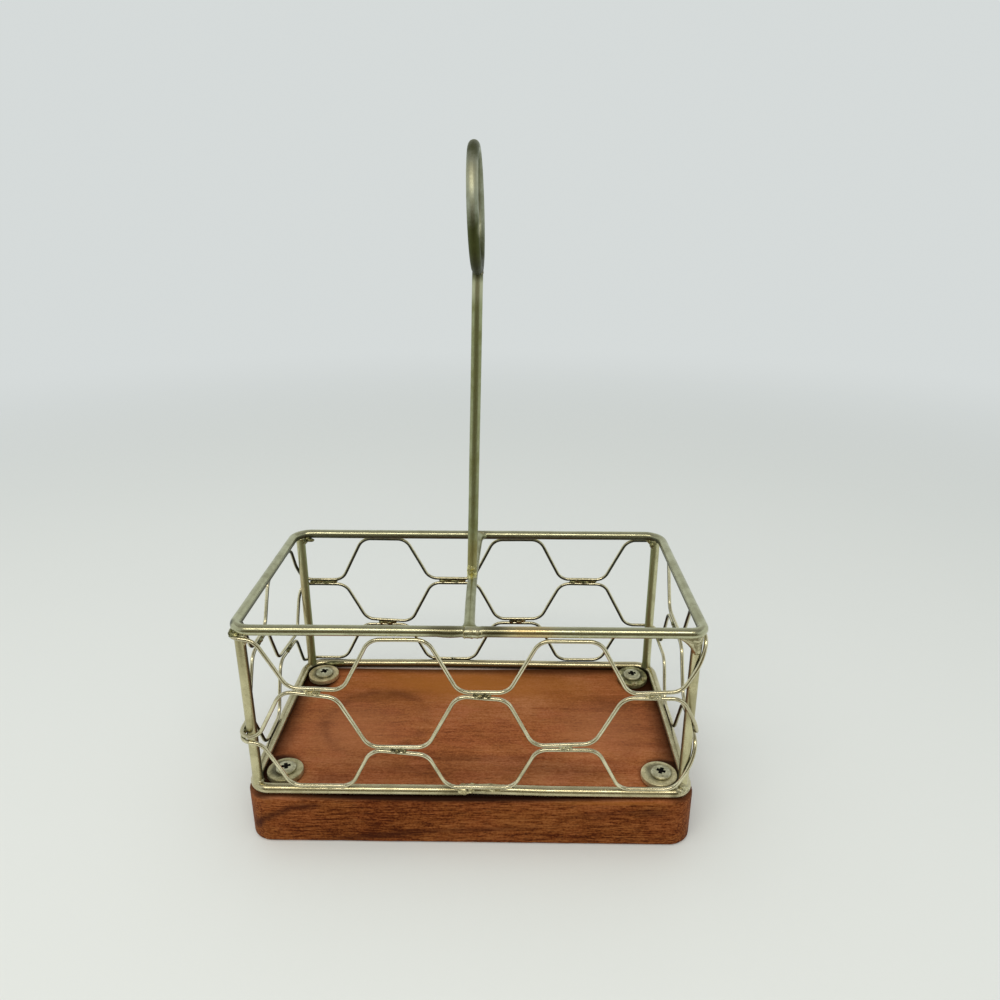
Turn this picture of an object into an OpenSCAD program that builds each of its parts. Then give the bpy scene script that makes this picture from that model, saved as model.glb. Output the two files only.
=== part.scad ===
// Sugar packet holder: a wire basket with honeycomb sides on a wooden base, carried by a rod with a finger loop.
// The origin is on the table under the middle of the base; +Z is up and the front faces -Y.

/* [Wood base] */
// Width of the base, left to right
base_w = 141.4; // [110:0.2:220]
// Depth of the base, front to back
base_d = 77; // [60:0.2:120]
// Thickness of the base
base_t = 17.4; // [16:0.2:30]
// Radius of the upright corners
base_corner_r = 7.5; // [4:0.5:14]
// Radius of the top and bottom edges
base_edge_r = 1; // [0.4:0.1:2]

/* [Wire frame] */
// Diameter of the wire in the rings, posts, cross bar and handle
frame_wire_d = 3.2; // [2.6:0.1:4]
// Outside height of the basket, from the bottom of the lower ring to the top of the upper one
basket_h = 59.5; // [45:0.5:80]
// Bend radius of the rings' corners, at the middle of the wire
ring_corner_r = 6; // [5:0.5:10]
// Wood that shows outside the bottom ring
base_margin = 0.7; // [0:0.1:3]
// Where the cross bar lies, right of the middle
cross_bar_x = 0; // [-2:0.1:2]

/* [Handle] */
// Height of the handle above the top ring
handle_rise = 130.4; // [90:0.2:180]
// Outside diameter of the finger loop
loop_d = 35.7; // [28:0.1:45]
// Where the rod stands on the cross bar, right of the bar's middle
rod_foot_x = -0.3; // [-0.8:0.1:0.8]
// Lean of the rod to the right, in degrees
rod_lean = 1.6; // [0:0.1:3]
// Lean of the loop to the left, in degrees
loop_lean = 1.2; // [0:0.1:3]
// How far the loop's foot sits to the right of the rod's end
loop_step = 0.3; // [-0.8:0.1:0.8]

/* [Honeycomb wires] */
// Diameter of the honeycomb wires
mesh_wire_d = 1.3; // [1:0.1:1.6]
// How far the honeycomb wires pass outside the middle of the rings
mesh_out = 1; // [0.6:0.1:1.4]
// Bend radius of the waves, at the middle of the wire
mesh_bend_r = 5.2; // [3:0.1:5.6]
// Steepness of the waves' sides, in degrees
mesh_slope = 63; // [60:1:70]
// Room for the braze between two waves
mesh_seam_gap = 0.6; // [0.1:0.1:0.8]
// How far the honeycomb wires bow out on the left side, half way up
mesh_left_bow = 0.6; // [0:0.1:0.7]

/* [Washers and screws] */
// Diameter of the washers
washer_d = 12; // [9:0.5:14]
// Thickness of the washers
washer_t = 1.6; // [1:0.1:2]
// Gap from a washer to the ring's side wire
washer_side_gap = 0.3; // [0.1:0.1:0.9]
// Gap from a washer to the ring's front or back wire
washer_end_gap = 0.7; // [0.1:0.1:0.9]
// Diameter of the screws' shanks
screw_d = 3.5; // [2.5:0.1:4.5]
// Length of the screws under the head
screw_len = 15; // [10:0.5:15]
// Diameter of the screws' heads
screw_head_d = 6.4; // [5.6:0.1:8]
// Height of the screws' heads
screw_head_h = 2.2; // [1.6:0.1:3]

/* [Hidden] */

$fn = 64;
overrun = 1;

wood_colour = [0.45, 0.22, 0.14];
wire_colour = [0.60, 0.57, 0.42];
bright_wire_colour = [0.68, 0.65, 0.50];
washer_colour = [0.58, 0.54, 0.41];
screw_colour = [0.52, 0.49, 0.38];

// Room left for the braze where two wires meet
braze_gap = 0.05;

// Ring centre lines, worked out from the base that they stand on
ring_w = base_w - 2 * base_margin - frame_wire_d;
ring_d = base_d - 2 * base_margin - frame_wire_d;
bottom_ring_z = base_t + frame_wire_d / 2;
top_ring_z = bottom_ring_z + basket_h - frame_wire_d;
ring_rise = top_ring_z - bottom_ring_z;

// The posts stand on the middle of the rings' corner bends
post_inset = ring_corner_r * (1 - cos(45));
post_x = ring_w / 2 - post_inset;
post_y = ring_d / 2 - post_inset;

// Handle: the rod stands on the cross bar and the loop stands on the rod, both coped to the wire that they meet
loop_r = (loop_d - frame_wire_d) / 2;
loop_top_z = top_ring_z + frame_wire_d / 2 + handle_rise;
loop_foot_z = loop_top_z - frame_wire_d / 2 - 2 * loop_r * cos(loop_lean);
rod_seat_share = 0.5;
rod_seat = rod_seat_share * frame_wire_d / 2;
rod_foot_z = top_ring_z + rod_seat;
rod_rise = loop_foot_z - rod_seat - rod_foot_z;
rod_top_x = cross_bar_x + rod_foot_x + rod_rise * tan(rod_lean);
loop_slit = 0.3;

// Honeycomb wires: plan of the way round the outside of the posts
mesh_half_w = ring_w / 2 + mesh_out;
mesh_half_d = ring_d / 2 + mesh_out;
mesh_to_wire = (frame_wire_d + mesh_wire_d) / 2 + braze_gap;
mesh_corner_r = ((mesh_out + post_inset) * sqrt(2) - mesh_to_wire) / (sqrt(2) - 1);
run_x = mesh_half_w - mesh_corner_r;
run_y = mesh_half_d - mesh_corner_r;
corner_run = mesh_corner_r * PI / 2;
leg_ends = [
  0,
  run_x,
  run_x + corner_run,
  run_x + corner_run + 2 * run_y,
  run_x + 2 * corner_run + 2 * run_y,
  3 * run_x + 2 * corner_run + 2 * run_y,
  3 * run_x + 3 * corner_run + 2 * run_y,
  3 * run_x + 3 * corner_run + 4 * run_y,
  3 * run_x + 4 * corner_run + 4 * run_y,
  4 * run_x + 4 * corner_run + 4 * run_y
];
way_round = leg_ends[len(leg_ends) - 1];
// Where the bow on the left side starts, is full and ends, as shares of the way round
bow_place_shares = [0.670, 0.740, 0.838, 0.862];
bow_shares = [0, 1, 1, 0];
corner_x_shares = [0, 1, 1, 1, 1, -1, -1, -1, -1, 0];
corner_y_shares = [-1, -1, -1, 1, 1, 1, 1, -1, -1, -1];
facings = [-90, -90, 0, 0, 90, 90, 180, 180, 270, 270];

// Where each wire climbs and falls, as shares of the way round from the front middle towards the right.
// The wires are bent by hand, so their waves do not match exactly; the top wire comes first.
slope_shares = [
  [
    0.039, 0.102, 0.160, 0.225, 0.295, 0.375, 0.434, 0.495,
    0.555, 0.615, 0.670, 0.752, 0.803, 0.863, 0.922, 0.983
  ],
  [
    0.037, 0.100, 0.160, 0.224, 0.297, 0.373, 0.433, 0.492,
    0.553, 0.614, 0.673, 0.746, 0.803, 0.858, 0.917, 0.981
  ],
  [
    0.041, 0.102, 0.161, 0.224, 0.281, 0.376, 0.434, 0.495,
    0.557, 0.618, 0.679, 0.743, 0.800, 0.859, 0.921, 0.977
  ]
];
slope_count = len(slope_shares[0]);
// Where the ends of each wire meet, at the back near the left post
join_share = 0.641;
join_gap = 0.1;

// Heights of the two seams between the wires, flat by flat, as shares of the height from ring to ring
upper_seam_shares = [0.631, 0.639, 0.643, 0.650, 0.651, 0.636, 0.678, 0.643];
lower_seam_shares = [0.307, 0.343, 0.302, 0.344, 0.327, 0.334, 0.341, 0.281];
mesh_seam = mesh_wire_d + mesh_seam_gap;
mesh_drop = sqrt(mesh_to_wire * mesh_to_wire - mesh_out * mesh_out);

// Facets of the honeycomb wires
mesh_sides = 8;
bend_steps = 3;
corner_steps = 5;
least_ring_step = 0.15;

// Washers stand at mid height of the bottom ring and the screws pass through them
washer_x = ring_w / 2 - (frame_wire_d + washer_d) / 2 - washer_side_gap;
washer_y = ring_d / 2 - (frame_wire_d + washer_d) / 2 - washer_end_gap;
washer_z = bottom_ring_z - washer_t / 2;
washer_edge_r = 0.4;
washer_hole_gap = 0.25;
pilot_gap = 0.05;
pilot_extra = 0.5;
screw_tip_len = 3;
screw_tip_d = 0.5;
head_rim_share = 0.45;
recess_span = 3.6;
recess_w = 0.9;
recess_depth = 1.3;

// A closed ring of wire, bent to a rounded rectangle
module wire_ring(wire_d) {
  long_run = ring_w - 2 * ring_corner_r;
  short_run = ring_d - 2 * ring_corner_r;
  for (side = [-1, 1]) {
    translate([-long_run / 2, side * ring_d / 2, 0])
      rotate([0, 90, 0])
        cylinder(d = wire_d, h = long_run);
    translate([side * ring_w / 2, short_run / 2, 0])
      rotate([90, 0, 0])
        cylinder(d = wire_d, h = short_run);
  }
  for (turn = [0:3])
    translate([
      (turn == 0 || turn == 3 ? 1 : -1) * long_run / 2,
      (turn < 2 ? 1 : -1) * short_run / 2,
      0
    ])
      rotate([0, 0, 90 * turn])
        rotate_extrude(angle = 90)
          translate([ring_corner_r, 0])
            circle(d = wire_d);
}

// Edge of the base: a slab from the middle out to a rounded rim
module base_rim(reach) {
  square([reach - base_edge_r, base_t]);
  translate([0, base_edge_r])
    square([reach, base_t - 2 * base_edge_r]);
  for (height = [base_edge_r, base_t - base_edge_r])
    translate([reach - base_edge_r, height])
      circle(r = base_edge_r);
}

module base_block() {
  flat_w = base_w - 2 * base_corner_r;
  flat_d = base_d - 2 * base_corner_r;
  for (side = [0, 180])
    rotate([0, 0, side]) {
      translate([-flat_w / 2, 0, 0])
        rotate([90, 0, 90])
          linear_extrude(height = flat_w)
            base_rim(base_d / 2);
      translate([flat_w / 2, flat_d / 2, 0])
        rotate([90, 0, 0])
          linear_extrude(height = flat_d)
            base_rim(base_corner_r);
      for (turn = [0, 1])
        translate([flat_w / 2, (turn == 0 ? 1 : -1) * flat_d / 2, 0])
          rotate([0, 0, -90 * turn])
            rotate_extrude(angle = 90)
              base_rim(base_corner_r);
    }
}

module wood_base() {
  pilot_depth = screw_len - (washer_z - base_t) - washer_t + pilot_extra;
  color(wood_colour)
    difference() {
      base_block();
      for (x = [-washer_x, washer_x], y = [-washer_y, washer_y])
        translate([x, y, base_t - pilot_depth])
          cylinder(d = screw_d + 2 * pilot_gap, h = pilot_depth + overrun);
    }
}

module bottom_ring() {
  color(wire_colour)
    translate([0, 0, bottom_ring_z])
      wire_ring(frame_wire_d);
}

module top_ring() {
  color(wire_colour)
    translate([0, 0, top_ring_z])
      wire_ring(frame_wire_d);
}

// A corner post, coped to sit between the two rings
module post(side_x, side_y) {
  color(wire_colour)
    difference() {
      translate([side_x * post_x, side_y * post_y, bottom_ring_z])
        cylinder(d = frame_wire_d, h = ring_rise);
      for (z = [bottom_ring_z, top_ring_z])
        translate([0, 0, z])
          wire_ring(frame_wire_d + 2 * braze_gap);
    }
}

module bar(wire_d) {
  translate([cross_bar_x, ring_d / 2, top_ring_z])
    rotate([90, 0, 0])
      cylinder(d = wire_d, h = ring_d);
}

module cross_bar() {
  color(wire_colour)
    difference() {
      bar(frame_wire_d);
      translate([0, 0, top_ring_z])
        wire_ring(frame_wire_d + 2 * braze_gap);
    }
}

// The finger loop: a wire bent round until its ends meet over the rod
module loop(wire_d) {
  open_angle = 2 * asin(loop_slit / (2 * loop_r));
  translate([rod_top_x + loop_step, 0, loop_foot_z])
    rotate([0, -loop_lean, 0])
      translate([0, 0, loop_r])
        rotate([90, 0, 90])
          rotate([0, 0, open_angle / 2 - 90])
            rotate_extrude(angle = 360 - open_angle)
              translate([loop_r, 0])
                circle(d = wire_d);
}

module finger_loop() {
  color(wire_colour)
    loop(frame_wire_d);
}

module handle_rod() {
  color(wire_colour)
    difference() {
      translate([cross_bar_x + rod_foot_x, 0, rod_foot_z])
        rotate([0, rod_lean, 0])
          cylinder(d = frame_wire_d, h = rod_rise / cos(rod_lean));
      bar(frame_wire_d + 2 * braze_gap);
      loop(frame_wire_d + 2 * braze_gap);
    }
}

// Place on the way round the basket at a distance from the front middle
function along(distance, values) =
  lookup(distance, [for (i = [0:len(leg_ends) - 1]) [leg_ends[i], values[i]]]);
function outward(distance) =
  let (facing = along(distance, facings)) [cos(facing), sin(facing), 0];
function left_bow(distance, z) =
  mesh_left_bow * sin(180 * z / ring_rise)
  * lookup(distance / way_round, [for (i = [0:len(bow_shares) - 1]) [bow_place_shares[i], bow_shares[i]]]);
function wrap_place(distance, z) =
  [run_x * along(distance, corner_x_shares), run_y * along(distance, corner_y_shares), bottom_ring_z + z]
  + (mesh_corner_r + left_bow(distance, z)) * outward(distance);

// Heights of a wire's flats, in turn from the front middle; row 0 is the top wire
function seam_z(shares, flat) = ring_rise * shares[floor(flat / 2) % len(shares)];
function flat_z(row, flat) =
  flat % 2 == 0 ? (
    row == 0 ? seam_z(upper_seam_shares, flat) + mesh_seam / 2 :
    row == 1 ? seam_z(upper_seam_shares, flat) - mesh_seam / 2 :
    mesh_drop
  ) : (
    row == 0 ? ring_rise - mesh_drop :
    row == 1 ? seam_z(lower_seam_shares, flat) + mesh_seam / 2 :
    seam_z(lower_seam_shares, flat) - mesh_seam / 2
  );

// One side of a wave: two bends with a straight between them
function slope_step(row, slope) = flat_z(row, slope + 1) - flat_z(row, slope);
function slope_run(row, slope) =
  abs(slope_step(row, slope)) / tan(mesh_slope) + 2 * mesh_bend_r * tan(mesh_slope / 2);
function slope_middle(row, slope) = slope_shares[row][slope] * way_round;
function done_share(row, slope, distance) =
  let (
    from_middle = distance - slope_middle(row, slope),
    inside = slope_run(row, slope) / 2 - abs(from_middle),
    side = from_middle < 0 ? -1 : 1,
    half = abs(slope_step(row, slope)) / 2,
    off_flat = inside <= 0 ? 0 :
      inside < mesh_bend_r * sin(mesh_slope) ? mesh_bend_r - sqrt(mesh_bend_r * mesh_bend_r - inside * inside) :
      half - abs(from_middle) * tan(mesh_slope)
  )
  (1 + side * (half - off_flat) / half) / 2;
function wave_z(row, distance, slope = 0) =
  slope == slope_count ? flat_z(row, 0) :
  done_share(row, slope, distance) * slope_step(row, slope) + wave_z(row, distance, slope + 1);

// Distances at which the wire's cross-section is drawn: through each bend and round each corner
function sorted(list) =
  len(list) < 2 ? list :
  let (pivot = list[floor(len(list) / 2)])
  concat(
    sorted([for (value = list) if (value < pivot) value]),
    [pivot],
    sorted([for (value = list) if (value > pivot) value])
  );
function spaced(list) =
  [for (i = [0:len(list) - 1]) if (i == 0 || list[i] - list[i - 1] > least_ring_step) list[i]];
function wrapped(distance) = distance - way_round * floor(distance / way_round);
function ring_places(row) =
  let (
    start = join_share * way_round,
    bends = [
      for (slope = [0:slope_count - 1], step = [0:bend_steps], side = [-1, 1])
        slope_middle(row, slope)
        + side * (slope_run(row, slope) / 2 - mesh_bend_r * sin(mesh_slope * step / bend_steps))
    ],
    corners = [
      for (leg = [1, 3, 5, 7], step = [0:corner_steps])
        leg_ends[leg] + corner_run * step / corner_steps
    ],
    from_start = [for (place = concat(bends, corners)) wrapped(place - start)]
  )
  spaced(sorted(concat([join_gap / 2], from_start, [way_round - join_gap / 2])));

function wire_point(row, from_start) =
  let (distance = wrapped(from_start + join_share * way_round))
  wrap_place(distance, wave_z(row, distance));
function unit(vector) = vector / norm(vector);

// A honeycomb wire: a thin round wire swept along its wave
module honeycomb_wire(row) {
  places = ring_places(row);
  last = len(places) - 1;
  middles = [for (place = places) wire_point(row, place)];
  sections = [
    for (i = [0:last])
      let (
        ahead = unit(middles[min(i + 1, last)] - middles[max(i - 1, 0)]),
        out = outward(wrapped(places[i] + join_share * way_round)),
        up = unit(cross(out, ahead)),
        flat_out = cross(ahead, up)
      )
      for (k = [0:mesh_sides - 1])
        let (turn = 360 * k / mesh_sides)
        middles[i] + mesh_wire_d / 2 * (cos(turn) * flat_out + sin(turn) * up)
  ];
  walls = [
    for (i = [0:last - 1], k = [0:mesh_sides - 1])
      let (
        a = i * mesh_sides + k,
        b = i * mesh_sides + (k + 1) % mesh_sides
      )
      each [[a, b, b + mesh_sides], [a, b + mesh_sides, a + mesh_sides]]
  ];
  ends = [
    for (k = [1:mesh_sides - 2])
      each [
        [0, k + 1, k],
        [last * mesh_sides, last * mesh_sides + k, last * mesh_sides + k + 1]
      ]
  ];
  color(bright_wire_colour)
    polyhedron(points = sections, faces = concat(walls, ends));
}

// A flat washer with softened rims
module washer(side_x, side_y) {
  color(washer_colour)
    translate([side_x * washer_x, side_y * washer_y, washer_z])
      difference() {
        rotate_extrude() {
          square([washer_d / 2 - washer_edge_r, washer_t]);
          translate([0, washer_edge_r])
            square([washer_d / 2, washer_t - 2 * washer_edge_r]);
          for (height = [washer_edge_r, washer_t - washer_edge_r])
            translate([washer_d / 2 - washer_edge_r, height])
              circle(r = washer_edge_r);
        }
        translate([0, 0, -overrun])
          cylinder(d = screw_d + 2 * washer_hole_gap, h = washer_t + 2 * overrun);
      }
}

// A pan-head wood screw with a cross recess; its head sits on the washer
module screw(side_x, side_y) {
  rim_h = screw_head_h * head_rim_share;
  dome_h = screw_head_h - rim_h;
  dome_r = (screw_head_d * screw_head_d / 4 + dome_h * dome_h) / (2 * dome_h);
  color(screw_colour)
    translate([side_x * washer_x, side_y * washer_y, washer_z + washer_t]) {
      difference() {
        intersection() {
          cylinder(d = screw_head_d, h = screw_head_h + overrun);
          translate([0, 0, screw_head_h - dome_r])
            sphere(r = dome_r);
        }
        for (turn = [0, 90])
          rotate([0, 0, turn])
            translate([-recess_span / 2, -recess_w / 2, screw_head_h - recess_depth])
              cube([recess_span, recess_w, recess_depth + overrun]);
      }
      translate([0, 0, screw_tip_len - screw_len])
        cylinder(d = screw_d, h = screw_len - screw_tip_len);
      translate([0, 0, -screw_len])
        cylinder(d1 = screw_tip_d, d2 = screw_d, h = screw_tip_len);
    }
}

wood_base();
bottom_ring();
top_ring();
post(-1, -1);  // post_front_left
post(1, -1);  // post_front_right
post(-1, 1);  // post_back_left
post(1, 1);  // post_back_right
cross_bar();
handle_rod();
finger_loop();
honeycomb_wire(0);  // honeycomb_wire_top
honeycomb_wire(1);  // honeycomb_wire_middle
honeycomb_wire(2);  // honeycomb_wire_bottom
washer(-1, -1);  // washer_front_left
washer(1, -1);  // washer_front_right
washer(-1, 1);  // washer_back_left
washer(1, 1);  // washer_back_right
screw(-1, -1);  // screw_front_left
screw(1, -1);  // screw_front_right
screw(-1, 1);  // screw_back_left
screw(1, 1);  // screw_back_right
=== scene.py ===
import math

import bmesh
import bpy
from mathutils import Matrix, Vector, noise


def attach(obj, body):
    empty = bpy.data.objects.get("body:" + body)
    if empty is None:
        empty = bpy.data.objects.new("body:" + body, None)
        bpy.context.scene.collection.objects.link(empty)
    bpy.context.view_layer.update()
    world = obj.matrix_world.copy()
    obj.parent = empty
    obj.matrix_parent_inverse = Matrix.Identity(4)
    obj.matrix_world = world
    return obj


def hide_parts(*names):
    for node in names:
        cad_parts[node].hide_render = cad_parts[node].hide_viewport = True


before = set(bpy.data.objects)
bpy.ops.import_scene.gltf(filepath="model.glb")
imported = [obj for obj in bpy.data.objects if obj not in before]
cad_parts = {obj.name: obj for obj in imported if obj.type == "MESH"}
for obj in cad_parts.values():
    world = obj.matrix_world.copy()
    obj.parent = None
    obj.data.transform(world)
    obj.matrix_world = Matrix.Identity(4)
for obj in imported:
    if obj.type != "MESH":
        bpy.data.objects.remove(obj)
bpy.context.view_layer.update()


# Wood base: one block of reddish-brown hardwood with the grain along its length, its corners rounded
# and its edges softened by sanding, then oiled. The wire basket is screwed down on it.
MM = 0.001
BASE_HALF_W, BASE_HALF_D, BASE_T = 70.7, 38.5, 17.4
BASE_CORNER_R, BASE_EDGE_R, BASE_EDGE_STEPS = 7.5, 1.0, 6
# Each flat face is drawn in by these shares, one after the other
BASE_FACE_SHARES = (0.985, 0.9, 0.6)
# How deep the block is worn, over what span that changes, and the core that it is worn towards
BASE_WEAR, BASE_WEAR_SPAN, BASE_FLAT = 0.10, 9, 0.05
BASE_CORE = ((-60, 60), (-28, 28), (3, BASE_T - 3))
WOOD_DARK = (0.110, 0.024, 0.005)
WOOD_MID = (0.316, 0.101, 0.030)
WOOD_LIGHT = (0.490, 0.198, 0.080)
WOOD_HONEY = (0.330, 0.112, 0.018)
WOOD_ROSE = (0.405, 0.160, 0.072)
WOOD_SMOKE = (0.048, 0.010, 0.003)
WOOD_PORE = (0.060, 0.016, 0.004)
WOOD_PAINTED_SHADE = (0.012, 0.003, 0.001)
WOOD_GAP_LIGHT = (0.86, 0.70, 0.60)
# The blush's tint, and the sides' tint, which is painted shade with a deeper red
BLUSH_TINT, SIDE_SHADE_TINT = (1.0, 0.88, 1.02), (0.60, 0.52, 0.35)
# The log that the block was sawn from: how its rings run along it, and where its heart lies, in metres
LOG_STRETCH, LOG_HEART = (0.12, 1.0, 1.0), (0.004, -0.012, 0.030)
# Heights between which the sides turn into the top, in metres
SIDE_TO_TOP = (0.0158, 0.0171)
# Streaks in the wood, and one streak of painted shade along the back rail: the middle and the reach along,
# across and up, the lean in degrees, the strength and the colour
WOOD_STREAKS = [
    ((-44, -6, 17.4), (24, 20, 4), 0, 0.40, WOOD_ROSE),
    ((46, -4, 17.4), (22, 18, 4), 0, 0.40, WOOD_ROSE),
    ((0, 26, 17.4), (62, 16, 4), 0, 0.95, WOOD_HONEY),
    ((-4, -29, 17.4), (72, 14, 4), 0, 0.24, WOOD_SMOKE),
    ((42, -38.5, 16.5), (26, 5, 1.0), 0, 0.6, WOOD_HONEY),
    ((-34, 17, 17.4), (20, 5, 8), 0, 0.30, WOOD_SMOKE),
    ((20, -24, 17.4), (38, 9, 4), 0, 0.28, WOOD_SMOKE),
    ((-38, -22, 17.4), (28, 9, 4), 0, 0.22, WOOD_SMOKE),
    ((26, 29, 17.4), (44, 9, 4), 0, 0.15, WOOD_SMOKE),
    # painted shade along the back rail
    ((28, 32.5, 17.4), (36, 4.5, 4), 0, 0.35, WOOD_SMOKE),
    ((0, -19, 17.4), (30, 2.5, 6), 0, 0.35, WOOD_SMOKE),
    ((-46, -30, 17.4), (14, 5, 6), 0, 0.4, WOOD_SMOKE),
    ((-66.3, -38.5, 7.2), (5.0, 10, 1.9), -52, 0.9, WOOD_SMOKE),
    ((-62.5, -38.5, 10.2), (5.0, 10, 2.0), -26, 0.9, WOOD_SMOKE),
    ((-58.0, -38.5, 12.3), (5.2, 10, 2.1), -28, 0.9, WOOD_SMOKE),
    ((-52.0, -38.5, 13.8), (7.5, 10, 2.0), -8, 0.9, WOOD_SMOKE),
    ((-27.5, -38.5, 2.9), (22, 10, 1.7), -7, 0.7, WOOD_SMOKE),
    ((4.4, -38.5, 5.6), (26, 10, 1.5), -3.4, 0.6, WOOD_SMOKE),
    ((41, -38.5, 12.0), (18, 10, 1.5), -6, 0.4, WOOD_SMOKE),
    ((57.5, -38.5, 12.8), (8, 10, 2.6), 0, 0.6, WOOD_SMOKE),
]
# Painted shadow on the wood under the front of the bottom ring, and a pale line of painted light where
# light shows under its back: the middle, the reach, the strength and the colour
UNDER_RING_SHADE_AND_LIGHT = [
    ((0, -37.0, 17.5), (82, 1.7, 0.9), 0.92, WOOD_PAINTED_SHADE),
    ((-12, -37.6, 17.2), (66, 1.7, 1.3), 0.92, WOOD_PAINTED_SHADE),
    ((-22, 35.5, 17.4), (44, 0.85, 3.0), 0.95, WOOD_GAP_LIGHT),
]
# Round marks left by wet cups: the middle, the reach and the strength
CUP_MARKS = [((-35.5, 0.5, 17.4), 18, 0.40), ((33, -3, 17.4), 23, 0.14)]
# Where painted shade sets in and where it is full, towards the ends and the back, in metres, and how strong
# it is
SHADE_ENDS, SHADE_BACK, SHADE_STRENGTH = (0.0610, 0.0695), (0.0325, 0.0370), 0.70
# Painted shade round the washers: its middle in each corner, how far it is full and reaches in metres, its
# strength
WASHER_SHADE_MIDDLE, WASHER_SHADE_ROUND, WASHER_SHADE_STRENGTH = (64.0, 26.5, 17.4), (0.0078, 0.0115), 0.92


class Tone:
    """A value, colour or direction inside a finish; sums and products of values add Math nodes."""

    def __init__(self, tree, socket=None):
        self.tree, self.socket = tree, socket

    def node(self, kind, settings, sockets, out=0):
        """Adds a node: its settings first, then the values or links of its sockets."""
        made = self.tree.nodes.new(kind)
        for name, value in settings.items():
            if name == "stops":
                for number, (place, colour) in enumerate(value):
                    elements = made.color_ramp.elements
                    stop = elements[number] if number < 2 else elements.new(place)
                    stop.position, stop.color = place, (*colour, 1.0)
            else:
                setattr(made, name, value)
        for name, value in sockets.items():
            if isinstance(value, Tone):
                self.tree.links.new(value.socket, made.inputs[name])
            else:
                made.inputs[name].default_value = value
        return Tone(self.tree, made.outputs[out] if made.outputs else None)

    def maths(self, operation, *values):
        return self.node("ShaderNodeMath", {"operation": operation}, dict(enumerate(values)))

    def vector_maths(self, operation, *values, out=0):
        return self.node("ShaderNodeVectorMath", {"operation": operation}, dict(enumerate(values)), out)

    def part(self, axis):
        """The part of a place or direction along axis 0, 1 or 2."""
        return self.node("ShaderNodeSeparateXYZ", {}, {0: self}, axis)

    def __add__(self, other):
        return self.maths("ADD", self, other)

    def __sub__(self, other):
        return self.maths("SUBTRACT", self, other)

    def __rsub__(self, other):
        return self.maths("SUBTRACT", other, self)

    def __mul__(self, other):
        return self.maths("MULTIPLY", self, other)

    __radd__ = __add__
    __rmul__ = __mul__


def new_finish(name):
    material = bpy.data.materials.new(name)
    material.use_nodes = True
    material.node_tree.nodes.clear()
    return material, Tone(material.node_tree)


def place_on_piece(tone):
    return tone.node("ShaderNodeTexCoord", {}, {}, out=3)


def way_it_faces(tone):
    return tone.node("ShaderNodeNewGeometry", {}, {}, out=1)


def stretched(tone, where, along, across, up):
    return tone.vector_maths("MULTIPLY", where, (along, across, up))


def mottle(tone, where, scale, detail=3.0, rough=0.55):
    return tone.node("ShaderNodeTexNoise", {},
                     {"Vector": where, "Scale": scale, "Detail": detail, "Roughness": rough})


def figure(tone, where, along, across, detail=3.0, rough=0.55):
    """Mottle drawn out along the grain."""
    return mottle(tone, stretched(tone, where, along, across, across), 1.0, detail, rough)


def between(tone, value, low, high):
    """0 below low, 1 above high, with a soft step between."""
    return tone.node("ShaderNodeMapRange", {"interpolation_type": "SMOOTHSTEP"},
                     {"Value": value, "From Min": low, "From Max": high})


def distance_from(tone, where, middle):
    """The distance in metres from a middle in millimetres."""
    return tone.vector_maths("DISTANCE", where, Vector(middle) * MM, out=1)


def share_of_reach(tone, where, middle, reach, lean=0):
    """The distance from a middle, as a share of the reach along, across and up."""
    around = tone.node("ShaderNodeMapping", {"vector_type": "TEXTURE"},
                       {"Vector": where, "Location": Vector(middle) * MM, "Scale": Vector(reach) * MM,
                        "Rotation": (0.0, math.radians(lean), 0.0)})
    return tone.vector_maths("LENGTH", around, out=1)


def mixed(tone, share, first, second, blend="MIX"):
    first, second = [c if isinstance(c, Tone) else (*c, 1.0) for c in (first, second)]
    return tone.node("ShaderNodeMix", {"data_type": "RGBA", "blend_type": blend},
                     {0: share, 6: first, 7: second}, out=2)


def bumped(tone, strength, depth, height):
    return tone.node("ShaderNodeBump", {}, {"Strength": strength, "Distance": depth, "Height": height})


def finished(material, tone, sockets):
    """Closes a finish with the surface that has these sockets."""
    surface = tone.node("ShaderNodeBsdfPrincipled", {}, sockets)
    tone.node("ShaderNodeOutputMaterial", {}, {"Surface": surface})
    return material


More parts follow.
